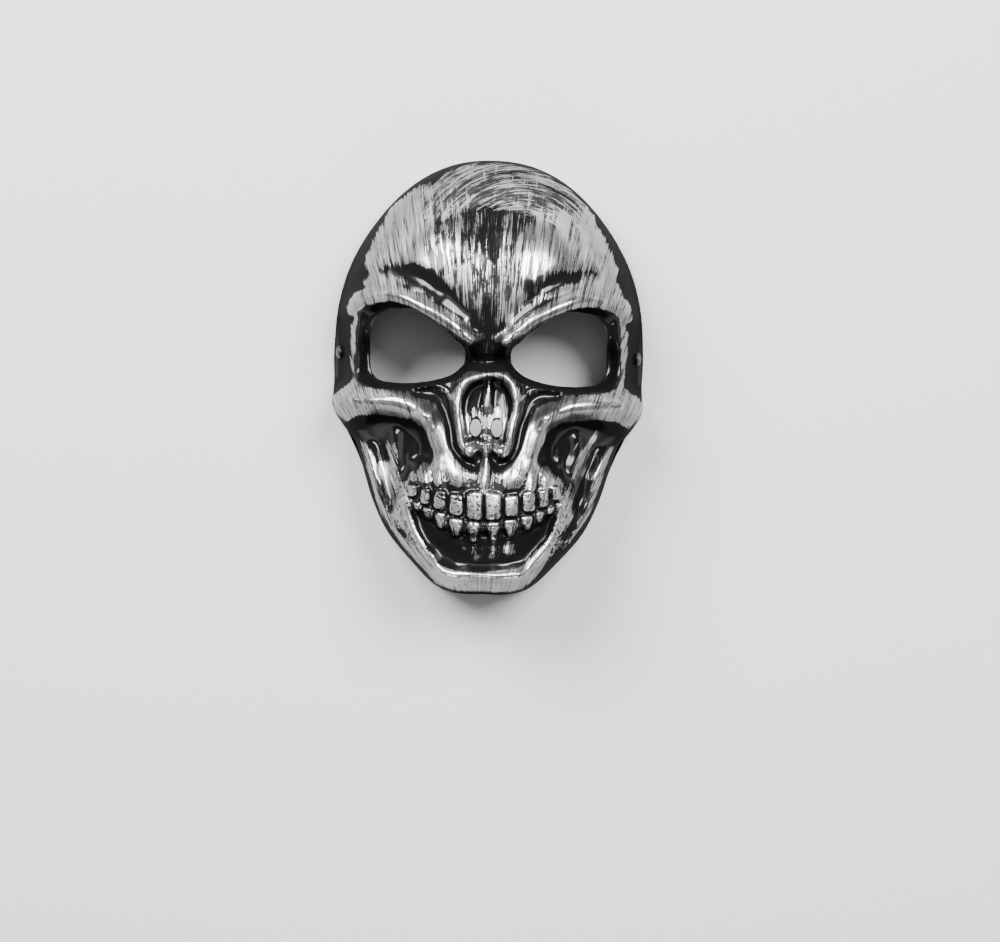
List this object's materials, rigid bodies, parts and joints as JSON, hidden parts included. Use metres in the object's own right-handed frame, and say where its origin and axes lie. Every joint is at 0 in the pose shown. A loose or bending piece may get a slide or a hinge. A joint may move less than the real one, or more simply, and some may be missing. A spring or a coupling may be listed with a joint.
{
  "type": "skull mask",
  "caption": "Full-face skull mask: thin moulded shell with cast brows, sockets, cheekbones, nose and teeth, open eyes, flat elastic strap.",
  "frame": {"origin": "middle of the rim's bounding box, on the plane that the rim rests on", "axes": "+Z out of the face, away from the wearer; +Y from the chin to the crown; +X to the right as the mask is looked at"},
  "size_m": [0.1578, 0.2199, 0.0765],
  "materials": {
    "silvered_plastic": "gloss black plastic dry-brushed with silver paint",
    "black_elastic": "woven elastic, matt",
    "blackened_metal": "black, satin"
  },
  "bodies": {
    "root": {"shell": "silvered_plastic", "elastic_strap": "black_elastic", "rivet_left": "blackened_metal", "rivet_right": "blackened_metal"}
  },
  "joints": []
}
